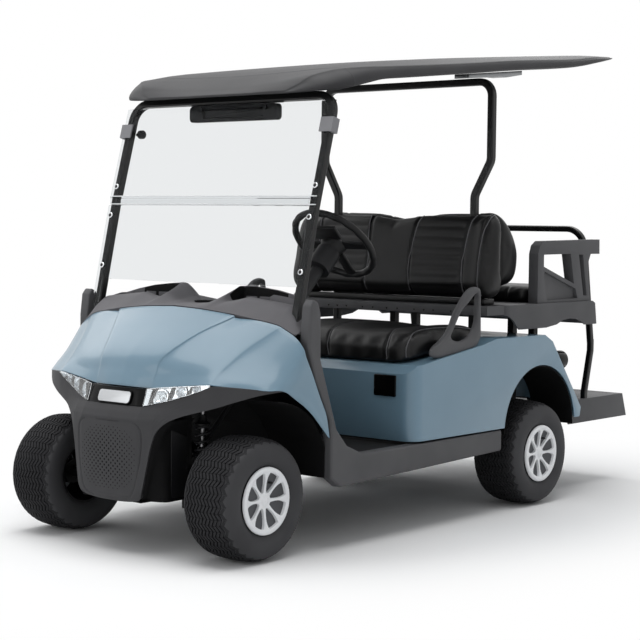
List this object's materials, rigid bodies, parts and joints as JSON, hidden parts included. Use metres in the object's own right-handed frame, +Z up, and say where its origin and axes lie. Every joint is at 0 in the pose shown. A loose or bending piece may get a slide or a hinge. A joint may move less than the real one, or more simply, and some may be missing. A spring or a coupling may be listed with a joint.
{
  "type": "golf cart",
  "caption": "Electric golf cart with a roof, clear windscreen, forward bench, rear-facing bench, grab bar and footrest on small tyres.",
  "frame": {"origin": "bottom centre of the whole vehicle, on the ground", "axes": "+X to the vehicle's left, front faces -Y, +Z up"},
  "size_m": [1.196, 2.77, 1.9179],
  "materials": {
    "battery_case": "moulded battery cases",
    "black_plastic": "fine grained black moulded plastic",
    "body_paint": "satin metallic blue-grey paint on moulded panels",
    "bracket_alloy": "mill finish aluminium",
    "canopy_plastic": "dark grey moulded roof plastic",
    "cast_axle": "black painted casting",
    "chassis_steel": "black powder coated steel",
    "clear_sheet": "clear acrylic sheet",
    "clip_plastic": "mid grey moulded plastic",
    "dark_plastic": "grained dark grey moulded plastic",
    "floor_mat": "ribbed black rubber mat on the floor sheet",
    "gloss_black": "polished black plastic",
    "grip_rubber": "soft black grip",
    "lamp_lens": "clear moulded lamp cover",
    "seat_vinyl": "black seat vinyl with sewn channels",
    "spring_steel": "bare machined steel",
    "strut_coat": "satin black powder coat",
    "tyre": "black tyre rubber",
    "wheel_silver": "silver painted wheel with cover"
  },
  "bodies": {
    "chassis": {"battery_pack": "battery_case", "canopy": "canopy_plastic", "canopy_brackets": "bracket_alloy", "charge_cover": "black_plastic", "dash_top": "dark_plastic", "floor_pan": "floor_mat", "footrest": "dark_plastic", "footrest_brackets": "chassis_steel", "frame_rails": "chassis_steel", "front_arms": "chassis_steel", "front_backrest": "seat_vinyl", "front_bumper": "dark_plastic", "front_cowl": "body_paint", "front_shocks": "spring_steel", "front_strut": "strut_coat", "grab_bar": "strut_coat", "headlamps": "lamp_lens", "hip_restraints": "black_plastic", "kick_board": "black_plastic", "lamp_panel": "gloss_black", "mirror": "black_plastic", "pedals": "chassis_steel", "rack_housing": "cast_axle", "rear_arms": "dark_plastic", "rear_axle": "cast_axle", "rear_backrest": "seat_vinyl", "rear_body": "body_paint", "rear_seat_frame": "chassis_steel", "rear_springs": "chassis_steel", "rear_strut": "strut_coat", "rear_tray": "dark_plastic", "rocker_panels": "dark_plastic", "screen_clips": "clip_plastic", "screen_rail": "clear_sheet", "seatback_frame": "strut_coat", "steering_column": "black_plastic", "tail_lamps": "gloss_black", "windscreen_lower": "clear_sheet", "windscreen_upper": "clear_sheet"},
    "knuckle_left": {"knuckle_left": "cast_axle"},
    "knuckle_right": {"knuckle_right": "cast_axle"},
    "steering_rack": {"steering_rack": "spring_steel"},
    "steering_wheel": {"steering_wheel": "grip_rubber"},
    "front_seat": {"front_cushion": "seat_vinyl"},
    "rear_seat": {"rear_cushion": "seat_vinyl"},
    "wheel_front_left": {"tyre_front_left": "tyre", "wheel_front_left": "wheel_silver"},
    "wheel_front_right": {"tyre_front_right": "tyre", "wheel_front_right": "wheel_silver"},
    "wheel_rear_left": {"tyre_rear_left": "tyre", "wheel_rear_left": "wheel_silver"},
    "wheel_rear_right": {"tyre_rear_right": "tyre", "wheel_rear_right": "wheel_silver"}
  },
  "joints": [
    {"name": "roll_front_left", "type": "hinge", "parent": "knuckle_left", "child": "wheel_front_left", "pos_m": [0.45, -1.153, 0.216], "axis": [1, 0, 0], "continuous": true},
    {"name": "roll_front_right", "type": "hinge", "parent": "knuckle_right", "child": "wheel_front_right", "pos_m": [-0.45, -1.153, 0.216], "axis": [1, 0, 0], "continuous": true},
    {"name": "roll_rear_left", "type": "hinge", "parent": "chassis", "child": "wheel_rear_left", "pos_m": [0.49, 0.517, 0.216], "axis": [1, 0, 0], "continuous": true},
    {"name": "roll_rear_right", "type": "hinge", "parent": "chassis", "child": "wheel_rear_right", "pos_m": [-0.49, 0.517, 0.216], "axis": [1, 0, 0], "continuous": true},
    {"name": "steer_left", "type": "hinge", "parent": "chassis", "child": "knuckle_left", "pos_m": [0.345, -1.153, 0.216], "axis": [0, 0, 1], "range_deg": [-28, 28]},
    {"name": "steer_right", "type": "hinge", "parent": "chassis", "child": "knuckle_right", "pos_m": [-0.345, -1.153, 0.216], "axis": [0, 0, 1], "range_deg": [-28, 28]},
    {"name": "rack_travel", "type": "slide", "parent": "chassis", "child": "steering_rack", "axis": [1, 0, 0], "range_m": [-0.066, 0.066]},
    {"name": "steering_turn", "type": "hinge", "parent": "chassis", "child": "steering_wheel", "pos_m": [0.3, -0.499, 1.088], "axis": [0, 0.7071, 0.7071], "range_deg": [-400, 400]},
    {"name": "front_seat_lift", "type": "hinge", "parent": "chassis", "child": "front_seat", "pos_m": [0, 0.177, 0.719], "axis": [-1, 0, 0], "range_deg": [0, 50]},
    {"name": "rear_seat_lift", "type": "hinge", "parent": "chassis", "child": "rear_seat", "pos_m": [0, 0.547, 0.847], "axis": [1, 0, 0], "range_deg": [0, 60]}
  ],
  "couplings": [
    {"joint": "steer_right", "follows": "steer_left", "ratio": 1},
    {"joint": "rack_travel", "follows": "steer_left", "m_per_rad": -0.132},
    {"joint": "steering_turn", "follows": "steer_left", "ratio": 14}
  ]
}
